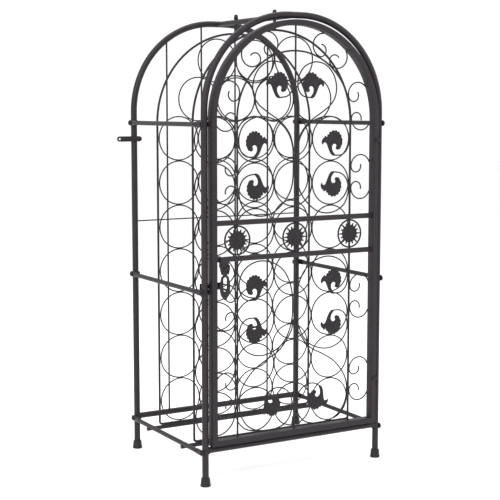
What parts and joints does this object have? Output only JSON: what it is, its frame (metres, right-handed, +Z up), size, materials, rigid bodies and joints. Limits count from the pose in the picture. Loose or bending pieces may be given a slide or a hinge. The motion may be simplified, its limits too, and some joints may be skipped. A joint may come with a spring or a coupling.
{
  "type": "wine rack",
  "caption": "Tall arch-topped wrought-iron wine rack: two tube frames, ring grids that hold bottles, and a scrolled, lockable door with a hasp.",
  "frame": {"origin": "on the floor, under the middle of the whole outline", "axes": "+Z up, door faces -Y, hasp on the -X side, hinges on the +X side"},
  "size_m": [0.4986, 0.378, 1.0035],
  "materials": {
    "frame_paint": "matt anthracite powder coat",
    "wire_paint": "matt anthracite powder coat",
    "cast_paint": "matt anthracite powder coat on castings",
    "bolt_paint": "satin black",
    "cap_plastic": "matt black"
  },
  "bodies": {
    "rack": {"bracket_screw": "bolt_paint", "foot_cap_front_left": "cap_plastic", "foot_cap_front_right": "cap_plastic", "foot_cap_rear_left": "cap_plastic", "foot_cap_rear_right": "cap_plastic", "front_arch_frame": "frame_paint", "front_arch_rings": "wire_paint", "front_bottom_rail": "frame_paint", "front_grid_arch_wire": "wire_paint", "front_grid_crossbar": "frame_paint", "front_ridge_nut": "bolt_paint", "front_ring_panel": "wire_paint", "hinge_pin_lower": "bolt_paint", "hinge_pin_upper": "bolt_paint", "left_lower_side_rail": "frame_paint", "left_middle_side_rail": "frame_paint", "left_upper_side_rail": "frame_paint", "padlock_staple": "bolt_paint", "rail_bolt_front_left_lower": "bolt_paint", "rail_bolt_front_left_middle": "bolt_paint", "rail_bolt_front_left_upper": "bolt_paint", "rail_bolt_front_right_lower": "bolt_paint", "rail_bolt_front_right_middle": "bolt_paint", "rail_bolt_front_right_upper": "bolt_paint", "rail_bolt_rear_left_lower": "bolt_paint", "rail_bolt_rear_left_middle": "bolt_paint", "rail_bolt_rear_left_upper": "bolt_paint", "rail_bolt_rear_right_lower": "bolt_paint", "rail_bolt_rear_right_middle": "bolt_paint", "rail_bolt_rear_right_upper": "bolt_paint", "rear_arch_frame": "frame_paint", "rear_arch_rings": "wire_paint", "rear_bottom_rail": "frame_paint", "rear_grid_arch_wire": "wire_paint", "rear_grid_crossbar": "frame_paint", "rear_ridge_nut": "bolt_paint", "rear_ring_panel": "wire_paint", "rear_wire_panel": "wire_paint", "ridge_tube": "frame_paint", "right_lower_side_rail": "frame_paint", "right_middle_side_rail": "frame_paint", "right_upper_side_rail": "frame_paint", "wall_bracket": "frame_paint"},
    "door": {"door_frame": "frame_paint", "door_lower_rail": "frame_paint", "door_upper_rail": "frame_paint", "hinge_barrel_lower": "bolt_paint", "hinge_barrel_upper": "bolt_paint", "inner_arch_wire": "wire_paint", "lower_centre_spine": "wire_paint", "lower_left_scrollwork": "cast_paint", "lower_left_spine": "wire_paint", "lower_right_scrollwork": "cast_paint", "lower_right_spine": "wire_paint", "medallion_centre": "cast_paint", "medallion_left": "cast_paint", "medallion_right": "cast_paint", "upper_left_scrollwork": "cast_paint", "upper_right_scrollwork": "cast_paint"},
    "hasp": {"hasp_plate": "frame_paint"}
  },
  "joints": [
    {"name": "door_hinge", "type": "hinge", "parent": "rack", "child": "door", "pos_m": [0.2282, -0.1755, 0.449], "axis": [0, 0, 1], "range_deg": [0, 170]},
    {"name": "hasp_hinge", "type": "hinge", "parent": "door", "child": "hasp", "pos_m": [-0.1628, -0.1756, 0.459], "axis": [-1, 0, 0], "range_deg": [0, 160]}
  ]
}
